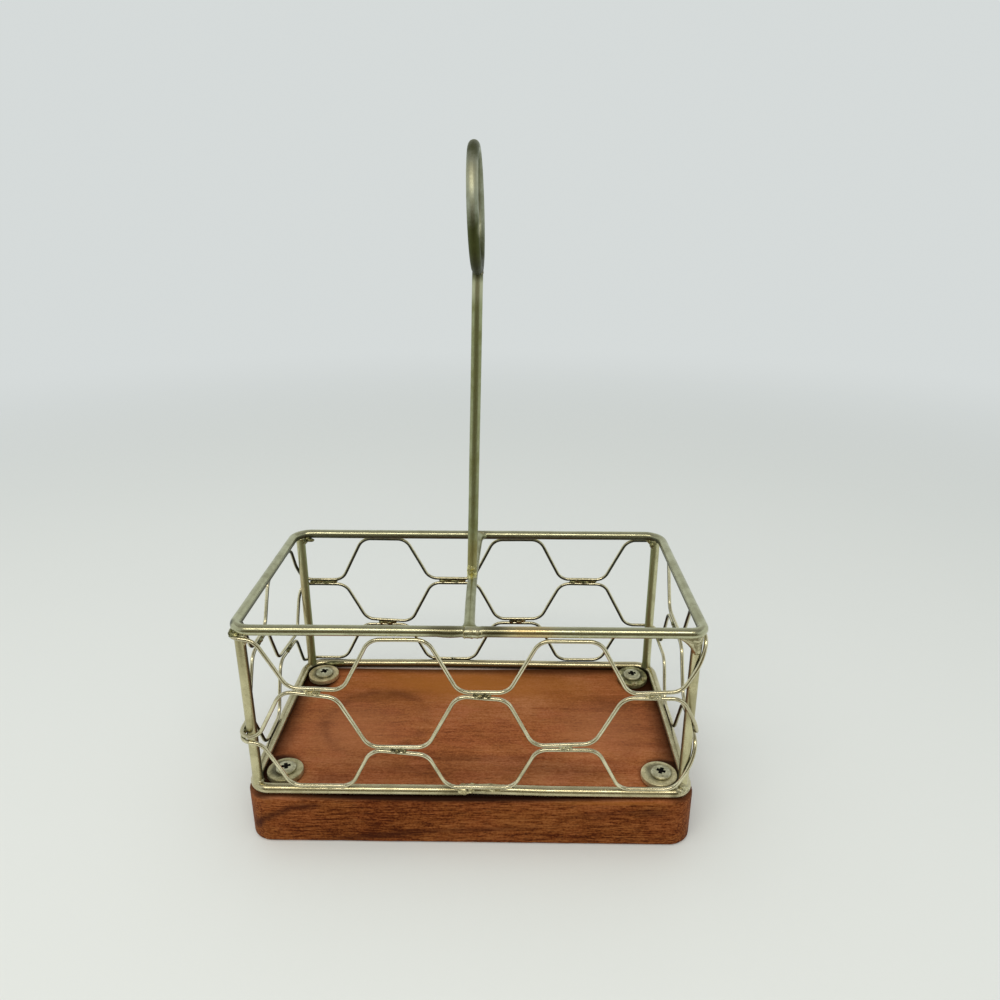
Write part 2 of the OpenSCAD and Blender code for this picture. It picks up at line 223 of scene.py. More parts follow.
def hardwood():
    material, tone = new_finish("oiled_hardwood")
    where = place_on_piece(tone)
    log = tone.vector_maths("MULTIPLY_ADD", where, LOG_STRETCH, LOG_HEART)
    rings = tone.node("ShaderNodeTexWave", {"wave_type": "RINGS", "rings_direction": "X"},
                      {"Vector": log, "Scale": 62.0, "Distortion": 7.0, "Detail": 3.0,
                       "Detail Scale": 1.2, "Detail Roughness": 0.6})
    sides = 1 - between(tone, where.part(2), *SIDE_TO_TOP)
    ends = between(tone, tone.vector_maths("ABSOLUTE", way_it_faces(tone)).part(0), 0.75, 0.98)
    cloud = figure(tone, where, 22, 46, 4.0)
    fibre = figure(tone, where, 44, 900, 8.0, 0.78)
    fleck = figure(tone, where, 1300, 1700, rough=0.75)
    grain = figure(tone, where, 190, 2300, rough=0.7)
    blush = between(tone, figure(tone, where, 70, 120), 0.42, 0.60)
    pores = between(tone, figure(tone, where, 260, 2600, 1.0), 0.60, 0.72)
    depth = (0.06 * rings + ends * (0.26 * rings - 0.13) + 0.58 * cloud + 0.34 * fibre + 0.52 * fleck
             + 0.36 * grain - 0.39 + sides * (0.99 * grain + 0.33 * fleck - 0.675))
    colour = tone.node("ShaderNodeValToRGB",
                       {"stops": [(0.32, WOOD_DARK), (0.76, WOOD_LIGHT), (0.52, WOOD_MID)]}, {0: depth})
    colour = mixed(tone, (0.35 + 0.25 * sides) * pores, colour, WOOD_PORE)
    colour = mixed(tone, 0.5 * blush, colour, BLUSH_TINT, "MULTIPLY")
    # The sides are darkened as painted shade and made a deeper red
    colour = mixed(tone, sides, colour, SIDE_SHADE_TINT, "MULTIPLY")
    for middle, reach, lean, strength, streak in WOOD_STREAKS:
        far = share_of_reach(tone, where, middle, reach, lean)
        near = 1 - between(tone, far + 0.9 * cloud + 0.5 * fibre + 0.4 * fleck, 0.9, 2.1)
        colour = mixed(tone, strength * near, colour, streak)
    for middle, reach, strength in CUP_MARKS:
        far = (1 / (reach * MM)) * distance_from(tone, where, middle)
        off = tone.maths("ABSOLUTE", far - 1.0) + 0.30 * cloud + 0.10 * fleck
        mark = strength * (0.3 + 0.7 * blush) * (1 - between(tone, off, 0.15, 0.42))
        colour = mixed(tone, mark, colour, WOOD_SMOKE)
    # Painted shade on the top along the rails at the ends and the back, and round the washers
    mirrored = tone.vector_maths("ABSOLUTE", where)
    at_ends = between(tone, mirrored.part(0) + 0.004 * cloud, *SHADE_ENDS)
    at_back = between(tone, where.part(1) + 0.004 * cloud, *SHADE_BACK)
    from_washer = distance_from(tone, mirrored, WASHER_SHADE_MIDDLE) + 0.002 * cloud
    at_washers = WASHER_SHADE_STRENGTH * (1 - between(tone, from_washer, *WASHER_SHADE_ROUND))
    painted_shade = tone.maths("MAXIMUM", SHADE_STRENGTH * tone.maths("MAXIMUM", at_ends, at_back), at_washers)
    colour = mixed(tone, painted_shade * (1 - sides), colour, WOOD_PAINTED_SHADE)
    # Painted shadow under the front of the bottom ring, and painted light under its back
    for middle, reach, strength, mark in UNDER_RING_SHADE_AND_LIGHT:
        far = share_of_reach(tone, where, middle, reach)
        colour = mixed(tone, strength * (1 - between(tone, far + 0.4 * fibre, 0.6, 1.4)), colour, mark)
    return finished(material, tone, {"Base Color": colour, "Roughness": 0.40 + 0.24 * fibre,
                                     "Normal": bumped(tone, 0.35, 0.00012, fibre - 0.8 * pores),
                                     "Specular IOR Level": 0.04})


def set_out(name, mesh, finish):
    """A piece from its mesh, smooth all over."""
    mesh.shade_smooth()
    mesh.materials.append(finish)
    made = bpy.data.objects.new(name, mesh)
    bpy.context.scene.collection.objects.link(made)
    return made


def shaped(name, places, faces, finish):
    """A piece from places in millimetres."""
    mesh = bpy.data.meshes.new(name)
    mesh.from_pydata([Vector(p) * MM for p in places], [], faces)
    mesh.update()
    return set_out(name, mesh, finish)


def skin(rows, count, closed=False):
    """Faces between rows that each have count places round them."""
    faces = []
    for i in range(rows if closed else rows - 1):
        for k in range(count):
            j, m = (i + 1) % rows, (k + 1) % count
            faces.append((i * count + k, i * count + m, j * count + m, j * count + k))
    return faces


def end_faces(rows, count):
    return [tuple(reversed(range(count))), tuple(range((rows - 1) * count, rows * count))]


def evenly(start, end, steps):
    return [start + (end - start) * i / steps for i in range(steps + 1)]


def rounded_outline(half_w, half_d, bends, inset, bend_steps=10, run_steps=(30, 16)):
    """Places round a rounded rectangle, from the front right corner on by the back, with a bend for each
    corner."""
    bent = []
    for bend, (way_x, way_y, facing) in zip(bends, ((1, -1, -90), (1, 1, 0), (-1, 1, 90), (-1, -1, 180))):
        middle = Vector((way_x * (half_w - bend), way_y * (half_d - bend), 0))
        turns = [math.radians(turn) for turn in evenly(facing, facing + 90, bend_steps)]
        rays = [Vector((math.cos(turn), math.sin(turn), 0)) for turn in turns]
        bent.append([middle + ray * (bend - inset) for ray in rays])
    places = []
    for number, corner in enumerate(bent):
        start, end, steps = corner[-1], bent[(number + 1) % 4][0], run_steps[(number + 1) % 2]
        places += corner + [start.lerp(end, step / steps) for step in range(1, steps)]
    return places


levels = [(BASE_EDGE_R * (1 - math.sin(turn)), BASE_EDGE_R * (1 - math.cos(turn)))
          for turn in evenly(0, math.pi / 2, BASE_EDGE_STEPS)]
levels += [(inset, BASE_T - z) for inset, z in reversed(levels)]
layers = []
for inset, z in levels:
    outline = rounded_outline(BASE_HALF_W, BASE_HALF_D, [BASE_CORNER_R] * 4, inset)
    layers.append([p + Vector((0, 0, z)) for p in outline])
for share in BASE_FACE_SHARES:
    layers.insert(0, [Vector((p.x * share, p.y * share, 0)) for p in layers[0]])
    layers.append([Vector((p.x * share, p.y * share, BASE_T)) for p in layers[-1]])
places = [p for layer in layers for p in layer]
for p in places:
    if BASE_FLAT < p.z < BASE_T - BASE_FLAT:
        worn = BASE_WEAR * (1 + noise.noise(p / BASE_WEAR_SPAN))
        core = Vector([max(low, min(high, c)) for c, (low, high) in zip(p, BASE_CORE)])
        p += (core - p).normalized() * worn
faces = skin(len(layers), len(outline)) + end_faces(len(layers), len(outline))
base = shaped("hardwood_block", places, faces, hardwood())
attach(base, "root")
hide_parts("wood_base")


# Bottom ring: heavy wire, bent to a rounded rectangle and butt-welded at the front middle, plated in
# antique brass. It lies on the wood and carries the posts.
WIRE_R = 1.6
RING_HALF_W, RING_HALF_D = 68.4, 36.2
BOTTOM_Z, TOP_Z = 19.0, 75.3
# Bends at the corners, from the front right on by the back, and where the wire's ends meet at the front
BOTTOM_BENDS = (5.0, 6.0, 6.0, 5.5)
BOTTOM_JOINT_X, BOTTOM_JOINT_HALF = -1.6, 0.4
# The ring rises off the wood to the right of its weld, and along the middle of its back
WELD_RISE, WELD_RISE_RUN = 0.55, 24
BACK_RISE, BACK_RISE_X, BACK_RISE_REACH = 0.35, -14, 46
RAIL_BAND = 1
# The walls of the basket, whose inner faces get painted shade, and how far an underside counts as inner
WALL_HALF_W, WALL_HALF_D, UNDERSIDE = 69.4, 37.2, 0.75
# The softened ends of a cut wire: how far out and how wide, as shares of its radius
WIRE_ENDS = ((0.10, 0.93), (0.14, 0.80))
# Where the noise for a wire's small bends along, across and up is read
BEND_SHIFTS = ((0, 0, 0), (37.1, 11.7, 5.3), (71.9, 23.3, 41.1))
BRASS_BRIGHT = (0.560, 0.558, 0.370)
BRASS_DULL = (0.400, 0.394, 0.245)
BRASS_SCORCHED = (0.115, 0.095, 0.040)
BRASS_COPPER = (0.72, 0.50, 0.20)
BRASS_PAINTED_SHADE = (0.085, 0.090, 0.055)


def antique_brass(name, bright, dull, rough, stains_and_painted_light=(), painted_shade_colour=BRASS_PAINTED_SHADE, under=0.0,
                  inner_shade_span=(0.45, 1.0), pits=0.12):
    """Plated drawn wire: dull and rubbed patches, fine drawing lines along it, and painted shade on its
    inner faces and, with under, on its undersides. Each mark has a middle, a reach, a strength and a
    colour; the marks are stains, painted shade and painted highlights."""
    material, tone = new_finish(name)
    where = place_on_piece(tone)
    along = tone.node("ShaderNodeUVMap", {"uv_map": "wire"}, {})
    lines = mottle(tone, stretched(tone, along, 70, 26, 1), 1.0, 3.0, 0.6)
    patches = mottle(tone, where, 150.0, 4.0, 0.62)
    specks = mottle(tone, where, 1300.0, 2.0, 0.6)
    wear = between(tone, 0.62 * patches + 0.20 * lines + 0.18 * specks, 0.36, 0.62)
    colour = mixed(tone, wear, dull, bright)
    for middle, reach, strength, mark_colour in stains_and_painted_light:
        far = (1 / (reach * MM)) * distance_from(tone, where, middle)
        near = 1 - between(tone, far + 0.5 * patches + 0.3 * specks, 0.70, 1.80)
        colour = mixed(tone, strength * near, colour, mark_colour)
    wall = stretched(tone, where, -1 / (WALL_HALF_W * MM), -1 / (WALL_HALF_D * MM), 0.0)
    squared = tone.vector_maths("MULTIPLY", wall, wall)
    fourth = tone.vector_maths("MULTIPLY", squared, squared)
    inward = tone.vector_maths("MULTIPLY_ADD", fourth, wall, (0.0, 0.0, -UNDERSIDE))
    facing = way_it_faces(tone)
    inner = tone.vector_maths("DOT_PRODUCT", inward, facing, out=1)
    inner_shade = between(tone, inner + 0.3 * patches, *inner_shade_span)
    # Painted shade on faces that point down, and on the inner faces
    if under:
        colour = mixed(tone, under * (1 - between(tone, facing.part(2), -0.4, 0.3)), colour, painted_shade_colour)
    colour = mixed(tone, 0.95 * inner_shade, colour, painted_shade_colour)
    return finished(material, tone, {"Base Color": colour, "Metallic": 1.0,
                                     "Normal": bumped(tone, pits, 0.00008, 0.6 * lines + 0.4 * specks),
                                     "Roughness": rough + 0.14 * (1 - wear) + 0.22 * inner_shade})


def drawn_wire(name, path, side, finish, radius=WIRE_R, sides=24, spread=None):
    """A round wire along a path in millimetres, with softened ends. side is the direction from which its
    places are counted round, one for all or one for each place; radius is one number or one for each
    place, and spread how much wider than that it is across the side."""
    path = [Vector(p) for p in path]
    spread = list(spread) if spread else [1.0] * len(path)
    radii = list(radius) if isinstance(radius, list) else [radius] * len(path)
    side_ways = [Vector(s) for s in side] if isinstance(side, list) else [Vector(side)] * len(path)
    aheads = [(after - before).normalized()
              for before, after in zip(path[:1] + path[:-1], path[1:] + path[-1:])]
    for end, way in ((0, -1), (-1, 1)):
        middle, ahead, end_r = path[end], aheads[end] * way, radii[end]
        for out_share, wide_share in WIRE_ENDS:
            place = len(path) if way > 0 else 0
            path.insert(place, middle + ahead * end_r * out_share)
            radii.insert(place, end_r * wide_share)
            for kept in (aheads, side_ways, spread):
                kept.insert(place, kept[end])
    places, lengths, run = [], [], 0.0
    for i, middle in enumerate(path):
        run += (middle - path[i - 1]).length if i else 0.0
        lengths.append(run * MM)
        first = (side_ways[i] - aheads[i] * side_ways[i].dot(aheads[i])).normalized()
        second = aheads[i].cross(first)
        for k in range(sides):
            turn = 2 * math.pi * k / sides
            round_it = first * math.cos(turn) + second * math.sin(turn) * spread[i]
            places.append(middle + round_it * radii[i])
    marks = []
    for u0, u1 in zip(lengths, lengths[1:]):
        for k in range(sides):
            v0, v1 = k / sides, (k + 1) / sides
            marks += [(u0, v0), (u0, v1), (u1, v1), (u1, v0)]
    marks += [(u, k / sides) for u in (lengths[0], lengths[-1]) for k in range(sides)]
    made = shaped(name, places, skin(len(path), sides) + end_faces(len(path), sides), finish)
    layer = made.data.uv_layers.new(name="wire")
    for mark, loop in zip(marks, layer.data):
        loop.uv = mark
    return made


def hand_bent(path, amount, span, seed):
    """The small bends that a wire keeps from the bench, the same in every run."""
    bent = []
    for p in path:
        spots = [p / span + Vector((seed + x, y, z)) for x, y, z in BEND_SHIFTS]
        bent.append(p + Vector([noise.noise(spot) for spot in spots]) * amount)
    return bent


def ring_path(height, start_x, bends, clear=0.5):
    """Way round a ring from start_x on the front rail, going right, clear of the joint by this much."""
    outline = rounded_outline(RING_HALF_W, RING_HALF_D, bends, inset=0.0, bend_steps=12, run_steps=(48, 26))
    rail_limit = -RING_HALF_D + 0.01
    front = sorted((p for p in outline if p.y < rail_limit), key=lambda p: p.x)
    right = [p for p in front if p.x > start_x + clear]
    left = [p for p in front if p.x < start_x - clear]
    others = [p for p in outline if p.y >= rail_limit]
    first = others.index(min(others, key=lambda p: (p - right[-1]).length))
    return [p + Vector((0, 0, height)) for p in right + others[first:] + others[:first] + left]


bottom_path = ring_path(BOTTOM_Z, BOTTOM_JOINT_X, BOTTOM_BENDS)
bottom_path.insert(0, Vector((BOTTOM_JOINT_X + BOTTOM_JOINT_HALF, -RING_HALF_D, BOTTOM_Z)))
bottom_path.append(Vector((BOTTOM_JOINT_X - BOTTOM_JOINT_HALF, -RING_HALF_D, BOTTOM_Z)))
bottom_path = hand_bent(bottom_path, amount=0.10, span=30, seed=3.0)
for p in bottom_path:
    if p.y < -RING_HALF_D + RAIL_BAND and BOTTOM_JOINT_X < p.x < WELD_RISE_RUN:
        p.z += WELD_RISE * (1 - max(0, p.x) / WELD_RISE_RUN)
    elif p.y > RING_HALF_D - RAIL_BAND:
        p.z += BACK_RISE * max(0, 1 - ((p.x - BACK_RISE_X) / BACK_RISE_REACH) ** 2)
bottom_brass = antique_brass("brass_bottom_ring", (0.66, 0.60, 0.38), (0.47, 0.42, 0.245), 0.20,
                             [((-1.6, -36.2, 19.0), 7, 0.6, BRASS_SCORCHED),
                              # painted shade in the crevice by the front right corner's braze
                              ((63.6, -36.8, 18.6), 1.8, 0.9, BRASS_SCORCHED)])
bottom_ring = drawn_wire("bottom_ring_wire", bottom_path, (0, 0, 1), bottom_brass)
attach(bottom_ring, "root")
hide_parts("bottom_ring")


# Top ring: the same heavy wire bent to the same plan, welded at the front middle where the cross bar
# meets it, and brazed on the four posts.
TOP_BENDS, TOP_JOINT_X, TOP_JOINT_CLEAR = (4.2, 6.0, 6.0, 5.2), -1.1, 8.2
# Distances from the joint at which the wire's shape is given
WELD_STEPS = (0.07, 0.35, 0.8, 1.5, 2.3, 3.2, 4.0, 4.6, 5.1, 5.7, 6.6, 7.6)
# The weld swells the wire and lets it sink: a sleeve to the right of the joint and a lump to its left
WELD_SWELL, SLEEVE_LEN, SLEEVE_START, SLEEVE_STOP, SLEEVE_SINK = 0.13, 5.6, 0.5, 0.7, 0.22
LUMP_OFF, LUMP_HALF, LUMP_SINK = 4, 3.6, 0.12
top_path = ring_path(TOP_Z, TOP_JOINT_X, TOP_BENDS, TOP_JOINT_CLEAR)
top_path[:0] = [Vector((TOP_JOINT_X + d, -RING_HALF_D, TOP_Z)) for d in WELD_STEPS]
top_path += [Vector((TOP_JOINT_X - d, -RING_HALF_D, TOP_Z)) for d in reversed(WELD_STEPS)]
top_path = hand_bent(top_path, amount=0.12, span=34, seed=11.0)
top_radii = []
for p in top_path:
    past_joint = p.x - TOP_JOINT_X
    swell, sink = 0.0, 0.0
    if p.y < 0 and 0 <= past_joint < SLEEVE_LEN:
        swell = min(1.0, past_joint / SLEEVE_START, (SLEEVE_LEN - past_joint) / SLEEVE_STOP)
        sink = SLEEVE_SINK * swell
    elif p.y < 0 and past_joint < 0:
        swell = max(0.0, 1 - ((past_joint + LUMP_OFF) / LUMP_HALF) ** 2)
        sink = LUMP_SINK * swell
    p.z -= sink
    top_radii.append(WIRE_R + WELD_SWELL * swell)
top_brass = antique_brass("brass_top_ring", BRASS_BRIGHT, BRASS_DULL, 0.19,
                          [((-6.5, -36.2, 74.6), 6.5, 0.65, BRASS_SCORCHED),
                           ((8.0, -36.2, 74.6), 5, 0.75, BRASS_SCORCHED),
                           ((18.5, -36.2, 74.6), 8, 0.55, BRASS_COPPER),
                           ((1.6, -36.2, 75.0), 3.2, 0.7, (0.62, 0.61, 0.43)),
                           ((-69.7, -33.6, 76.2), 1.7, 0.95, (0.040, 0.045, 0.024)),
                           ((0, 36.2, 75.3), 5, 0.5, BRASS_SCORCHED)])
top_ring = drawn_wire("top_ring_wire", top_path, (0, 0, 1), top_brass, top_radii)
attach(top_ring, "root")
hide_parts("top_ring")


# Corner posts: four straight lengths of the heavy wire, coped at both ends and brazed upright between
# the corner bends of the two rings; the braze has run into a small fillet at each end.
POST_X, POST_Y = 66.64, 34.44
POST_FOOT, POST_HEAD, POST_STEPS = BOTTOM_Z + 1.0, TOP_Z - 1.0, 40
FILLET_STEPS, FILLET_SWELL, FILLET_RUN = (0.3, 0.6, 0.9), 0.28, 0.8
CORNERS = {"front_left": (-1, -1), "front_right": (1, -1), "back_left": (-1, 1), "back_right": (1, 1)}
front_brass = antique_brass("brass_front_posts", (0.64, 0.59, 0.36), (0.46, 0.42, 0.24), 0.22,
                            [((-66.6, -35, 66), 9, 0.6, (0.36, 0.32, 0.17))],
                            (0.090, 0.095, 0.060), inner_shade_span=(0.25, 0.7))
back_brass = antique_brass("brass_back_posts", (0.60, 0.58, 0.36), (0.44, 0.42, 0.24), 0.24,
                           [((-66.6, 34.4, 50), 13, 0.55, (0.40, 0.29, 0.13)),
                            ((-66.6, 34.4, 27), 10, 0.65, (0.27, 0.19, 0.075))], (0.30, 0.33, 0.17))
heights = sorted({*evenly(POST_FOOT, POST_HEAD, POST_STEPS), *[POST_FOOT + d for d in FILLET_STEPS],
                  *[POST_HEAD - d for d in FILLET_STEPS]})
post_radii = [WIRE_R + FILLET_SWELL * math.exp(-min(z - POST_FOOT, POST_HEAD - z) / FILLET_RUN)
              for z in heights]
for corner, (side_x, side_y) in CORNERS.items():
    path = [Vector((side_x * POST_X, side_y * POST_Y, z)) for z in heights]
    path = hand_bent(path, amount=0.08, span=25, seed=20 + side_x + side_y / 2)
    brass = front_brass if side_y < 0 else back_brass
    post = drawn_wire("post_wire_" + corner, path, (1, 0, 0), brass, post_radii)
    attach(post, "root")
    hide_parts("post_" + corner)


# Cross bar: a straight length of the heavy wire, brazed between the front and back of the top ring,
# under the handle. At both ends the braze has run out flat and wide.
BAR_HALF, BAR_STEPS, BAR_END_STEPS = RING_HALF_D - 0.9, 40, (0.25, 0.5, 0.8, 1.1, 1.4)
# The bar's middle stands a little left of its ends
BAR_X, BAR_BOW = -0.1, 0.65
BAR_THINNING, BAR_THINNING_RUN = 0.15, 0.8
BAR_WIDENING, BAR_WIDENING_RUN = 1.6, 1.0
bar_ys = sorted({*evenly(-BAR_HALF, BAR_HALF, BAR_STEPS),
                 *[way * (BAR_HALF - d) for d in BAR_END_STEPS for way in (-1, 1)]})
bar_path = [Vector((BAR_X + BAR_BOW * (y / BAR_HALF) ** 2, y, TOP_Z)) for y in bar_ys]
bar_path = hand_bent(bar_path, amount=0.08, span=25, seed=31.0)
bar_radii = [WIRE_R - BAR_THINNING * math.exp(-(BAR_HALF - abs(y)) / BAR_THINNING_RUN) for y in bar_ys]
bar_spread = [1 + BAR_WIDENING * math.exp(-(BAR_HALF - abs(y)) / BAR_WIDENING_RUN) for y in bar_ys]
bar_brass = antique_brass("brass_cross_bar", (0.44, 0.44, 0.26), (0.28, 0.28, 0.145), 0.28,
                          [((-0.3, 0, 75.3), 6, 0.5, BRASS_SCORCHED)])
cross_bar = drawn_wire("cross_bar_wire", bar_path, (0, 0, 1), bar_brass, bar_radii, spread=bar_spread)
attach(cross_bar, "root")
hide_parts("cross_bar")


# Handle rod: a straight length of the heavy wire, coped over the cross bar and brazed there; it leans a
# little to the right.
ROD_FOOT, ROD_HEAD, ROD_STEPS = Vector((-0.30, 0, 76.1)), Vector((2.41, 0, 172.6)), 60
rod_path = [ROD_FOOT.lerp(ROD_HEAD, share) for share in evenly(0, 1, ROD_STEPS)]
rod_path = hand_bent(rod_path, amount=0.10, span=30, seed=40.0)
rod_brass = antique_brass("brass_handle_rod", (0.38, 0.405, 0.225), (0.26, 0.27, 0.115), 0.34,
                          [((-0.2, 0, 82.0), 8, 0.5, (0.36, 0.29, 0.09)),
                           ((2.3, -1, 168.0), 4, 0.6, (0.66, 0.66, 0.46)),
                           ((2.5, 0, 173.0), 3, 0.9, (0.05, 0.055, 0.03))])
handle_rod = drawn_wire("handle_rod_wire", rod_path, (1, 0, 0), rod_brass)
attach(handle_rod, "root")
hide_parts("handle_rod")


# Finger loop: the heavy wire bent round to a ring until its ends meet, set on the rod's end and brazed.
# It stands nearly square to the basket's front, with a slight lean and turn.
LOOP_MIDDLE, LOOP_R, LOOP_LEAN, LOOP_TURN = Vector((2.05, 0, 189.40)), 16.2, 1.2, -0.8
LOOP_STEPS, LOOP_JOINT_HALF = 96, 0.6
# Colours of the loop's painted shade, its painted highlights and the scorch at its foot
LOOP_PAINTED_SHADE, LOOP_PAINTED_HIGHLIGHT, LOOP_SCORCHED = (0.085, 0.096, 0.030), (0.80, 0.78, 0.56), (0.035, 0.040, 0.018)
loop_set = (Matrix.Rotation(math.radians(LOOP_TURN), 3, "Z")
            @ Matrix.Rotation(math.radians(-LOOP_LEAN), 3, "Y"))
loop_path = []
for turn in evenly(-90 + LOOP_JOINT_HALF, 270 - LOOP_JOINT_HALF, LOOP_STEPS):
    upright = Vector((0, math.cos(math.radians(turn)), math.sin(math.radians(turn)))) * LOOP_R
    loop_path.append(LOOP_MIDDLE + loop_set @ upright)
loop_brass = antique_brass("brass_finger_loop", (0.42, 0.44, 0.335), (0.28, 0.295, 0.19), 0.44,
                           # The dark marks on the loop's top and lower half are painted shade and the gold
                           # ones painted highlights; the last is scorch at the foot
                           [((2.1, -7.5, 203.8), 5, 0.95, LOOP_PAINTED_SHADE),
                            ((2.0, -14.8, 197.0), 4.5, 0.3, LOOP_PAINTED_HIGHLIGHT),
                            ((2.2, -15.2, 182.0), 7, 0.95, LOOP_PAINTED_SHADE),
                            ((2.2, -11.0, 176.8), 9, 0.95, LOOP_PAINTED_SHADE),
                            ((2.4, 12.0, 177.5), 8, 0.8, LOOP_PAINTED_SHADE),
                            ((5.2, -14.6, 184.5), 2.4, 0.8, LOOP_PAINTED_HIGHLIGHT),
                            ((2.5, 0, 172.5), 11, 0.95, LOOP_SCORCHED)], pits=1.0)
finger_loop = drawn_wire("finger_loop_wire", loop_path, loop_set @ Vector((1, 0, 0)), loop_brass)
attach(finger_loop, "root")
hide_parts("finger_loop")


# Honeycomb wires: three thin wires, bent by hand into flat-topped waves and wrapped round the outside of
# the posts, brazed to the rings and crest to trough to each other so that the waves close into cells.
THIN_R, THIN_BEND_R, THIN_SLOPE = 0.61, 5.2, math.radians(63)
THIN_CORNER_R, THIN_STEP, BEND_STEPS, BEND_SHARE = 3.861, 1.2, 8, 0.48
# Half the distance between two brazed wires, the top ring's height over the bottom ring, and the distance
# of the outer flats from the rings
SEAM_HALF, RING_RISE, RING_DROP = 0.95, TOP_Z - BOTTOM_Z, 2.07
# The left side bows outward: by how much at half height, and its shares along the way round
LEFT_BOW, BOW_PLACES, BOW_SHARES = 0.6, (0.670, 0.740, 0.838, 0.862), (0, 1, 1, 0)
# Middles of each wire's slopes, as shares of the way round from the front middle, going right; there is a
# flat before each
SLOPES = {
    "top": (0.039, 0.102, 0.160, 0.225, 0.295, 0.375, 0.434, 0.495,
            0.555, 0.615, 0.670, 0.752, 0.803, 0.863, 0.922, 0.983),
    "middle": (0.037, 0.100, 0.160, 0.224, 0.297, 0.373, 0.433, 0.492,
               0.553, 0.614, 0.673, 0.746, 0.803, 0.858, 0.917, 0.981),
    "bottom": (0.041, 0.102, 0.161, 0.224, 0.281, 0.376, 0.434, 0.495,
               0.557, 0.618, 0.679, 0.743, 0.800, 0.859, 0.921, 0.977),
}
FLATS = 16
# Heights of the seams between two wires, as shares of the rise from ring to ring
UPPER_SEAM = (0.631, 0.639, 0.643, 0.650, 0.651, 0.636, 0.678, 0.643)
LOWER_SEAM = (0.307, 0.343, 0.302, 0.344, 0.327, 0.334, 0.341, 0.281)
# How far the top wire's crests hang below their place at the ring: most of them, and two on the left
USUAL_SLACK, LEFT_SLACK = 0.25, {11: 1.0, 13: 0.0}
# How much a flat climbs from its start to its end, where the bend was not quite true
CLIMBS = {("top", 2): 0.9, ("top", 11): 0.7, ("top", 13): -1.4, ("top", 14): -0.5,
          ("middle", 0): -1.1, ("middle", 1): 0.8, ("middle", 9): 1.0, ("middle", 11): 2.6,
          ("middle", 14): -2.0, ("bottom", 11): 2.2, ("bottom", 15): -1.7}
# Each wire's ends meet where a rail or a bead of braze covers them; the middle wire's show at the right.
# The place of the joint as a share of the way round, the gap there and the seed of the wire's small bends
THIN_JOINTS = {"top": (0.585, 0.0, 51.0), "middle": (0.1722, 1.6, 57.0), "bottom": (0.526, 0.0, 63.0)}
THIN_BRIGHT, THIN_DULL, THIN_PAINTED_SHADE = (0.88, 0.82, 0.57), (0.58, 0.535, 0.345), (0.034, 0.042, 0.030)

# The way round in legs, from the front middle by the right: at the ends of the legs, the way that the wall
# faces in degrees, and the side on which it lies along and across
run_w, run_d = WALL_HALF_W - THIN_CORNER_R, WALL_HALF_D - THIN_CORNER_R
bend_run = THIN_CORNER_R * math.pi / 2
LEG_FACINGS = (-90, -90, 0, 0, 90, 90, 180, 180, 270, 270)
LEG_SIDES_X = (0, 1, 1, 1, 1, -1, -1, -1, -1, 0)
LEG_SIDES_Y = (-1, -1, -1, 1, 1, 1, 1, -1, -1, -1)
leg_ends = [0.0]
for leg in (run_w, bend_run, 2 * run_d, bend_run, 2 * run_w, bend_run, 2 * run_d, bend_run, run_w):
    leg_ends.append(leg_ends[-1] + leg)
way_round = leg_ends[-1]


def read_off(value, places, readings):
    """A reading at a value, straight between the places that are given."""
    if value <= places[0]:
        return readings[0]
    for i in range(1, len(places)):
        if value <= places[i]:
            share = (value - places[i - 1]) / (places[i] - places[i - 1])
            return readings[i - 1] + share * (readings[i] - readings[i - 1])
    return readings[-1]


def outward(distance):
    facing = math.radians(read_off(distance % way_round, leg_ends, LEG_FACINGS))
    return Vector((math.cos(facing), math.sin(facing), 0))


def wrapped_place(distance, height):
    """A place on the way round the posts, at a distance from the front middle and a height above the
    bottom ring."""
    distance %= way_round
    corner = Vector((run_w * read_off(distance, leg_ends, LEG_SIDES_X),
                     run_d * read_off(distance, leg_ends, LEG_SIDES_Y), BOTTOM_Z + height))
    bow = (LEFT_BOW * math.sin(math.pi * height / RING_RISE)
           * read_off(distance / way_round, BOW_PLACES, BOW_SHARES))
    return corner + outward(distance) * (THIN_CORNER_R + bow)


def flat_height(row, flat):
    upper = UPPER_SEAM[flat // 2] * RING_RISE
    lower = LOWER_SEAM[flat // 2] * RING_RISE
    if flat % 2 == 0:
        return {"top": upper + SEAM_HALF, "middle": upper - SEAM_HALF, "bottom": RING_DROP}[row]
    crest = RING_RISE - RING_DROP - LEFT_SLACK.get(flat, USUAL_SLACK)
    return {"top": crest, "middle": lower + SEAM_HALF, "bottom": lower - SEAM_HALF}[row]


def wave_knots(row):
    """Corners of the wave, unrolled, one turn from the front middle."""
    knots = []
    for flat, share in enumerate(SLOPES[row]):
        middle, after = share * way_round, (flat + 1) % FLATS
        start = flat_height(row, flat) + CLIMBS.get((row, flat), 0) / 2
        end = flat_height(row, after) - CLIMBS.get((row, after), 0) / 2
        half_run = abs(end - start) / 2 / math.tan(THIN_SLOPE)
        knots += [Vector((middle - half_run, start, 0)), Vector((middle + half_run, end, 0))]
    return knots


